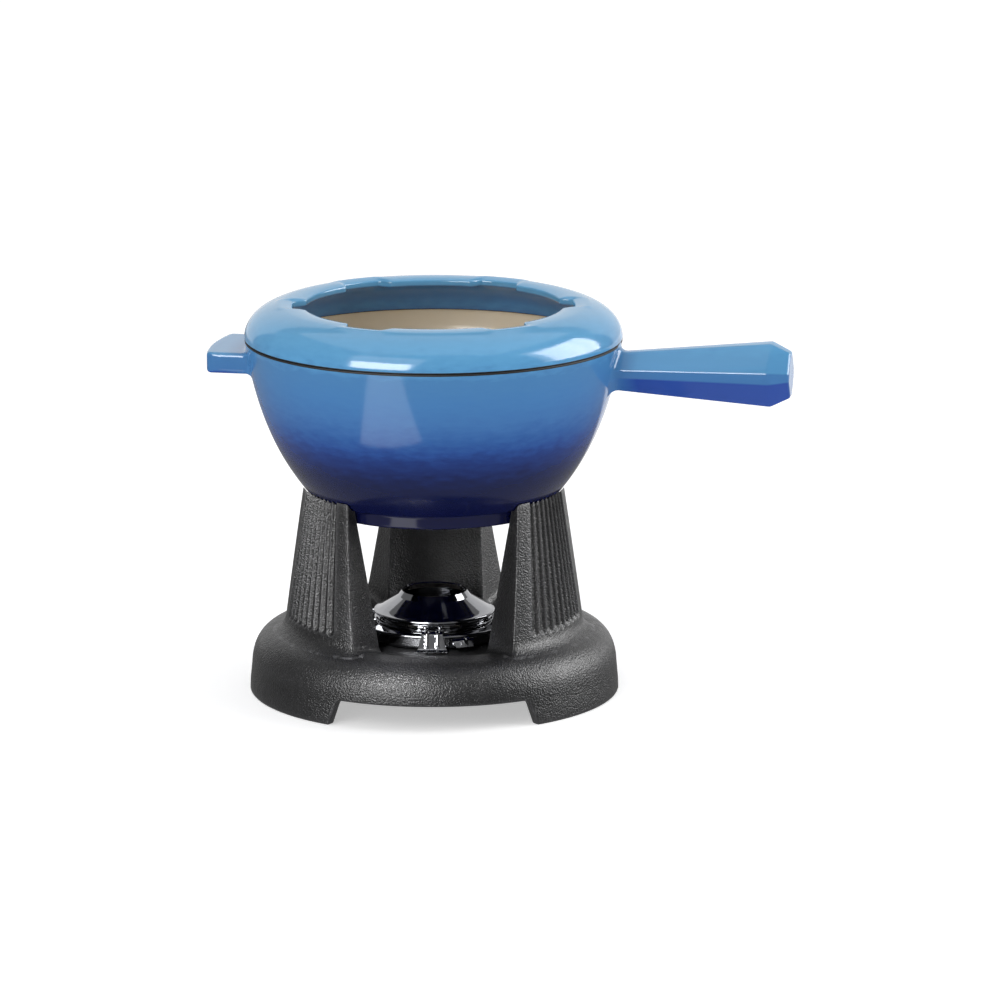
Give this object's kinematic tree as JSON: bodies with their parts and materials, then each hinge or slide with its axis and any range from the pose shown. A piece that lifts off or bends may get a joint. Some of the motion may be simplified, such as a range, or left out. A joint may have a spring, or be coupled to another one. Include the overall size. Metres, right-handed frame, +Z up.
{
  "type": "fondue pot set",
  "caption": "Enamelled cast-iron fondue pot with fork-rest ring, on a fluted cast-iron stand over a steel spirit burner.",
  "frame": {"origin": "middle of the set's footprint on the table; the stand's centre line is 38.2 mm to the -X side of it", "axes": "+Z up, +X towards the pot's long handle, which points 11 degrees from it towards -Y; the stand's rear leg is on +Y"},
  "size_m": [0.3403, 0.22, 0.2299],
  "materials": {
    "cast_iron": "sand-cast, matt black",
    "blue_enamel": "glossy vitreous enamel, blue shading to near-black outside and sand inside",
    "polished_steel": "pressed and polished",
    "wire_gauze": "woven wire",
    "wadding": "mineral wadding"
  },
  "bodies": {
    "stand": {"stand": "cast_iron"},
    "pot": {"pot": "blue_enamel"},
    "guard": {"splatter_guard": "blue_enamel"},
    "burner": {"burner_pan": "polished_steel", "pan_tab": "polished_steel", "tab_rivet_1": "polished_steel", "tab_rivet_2": "polished_steel"},
    "cup": {"fuel_cup": "polished_steel", "absorbent_pad": "wadding", "wick_gauze": "wire_gauze", "gauze_ring": "polished_steel"},
    "cover": {"burner_cover": "polished_steel"},
    "regulator": {"regulator_ring": "polished_steel", "regulator_lever": "polished_steel", "lever_rivet_1": "polished_steel", "lever_rivet_2": "polished_steel"}
  },
  "joints": [
    {"name": "pot_lift", "type": "slide", "parent": "stand", "child": "pot", "axis": [0, 0, 1], "range_m": [0, 0.12]},
    {"name": "guard_lift", "type": "slide", "parent": "pot", "child": "guard", "axis": [0, 0, 1], "range_m": [0, 0.06]},
    {"name": "burner_lift", "type": "slide", "parent": "stand", "child": "burner", "axis": [0, 0, 1], "range_m": [0, 0.018]},
    {"name": "cup_lift", "type": "slide", "parent": "burner", "child": "cup", "axis": [0, 0, 1], "range_m": [0, 0.012]},
    {"name": "cover_lift", "type": "slide", "parent": "cup", "child": "cover", "axis": [0, 0, 1], "range_m": [0, 0.014]},
    {"name": "regulator_turn", "type": "hinge", "parent": "cover", "child": "regulator", "pos_m": [-0.0382, 0, 0.043], "axis": [0, 0, 1], "range_deg": [-22.5, 0]}
  ]
}
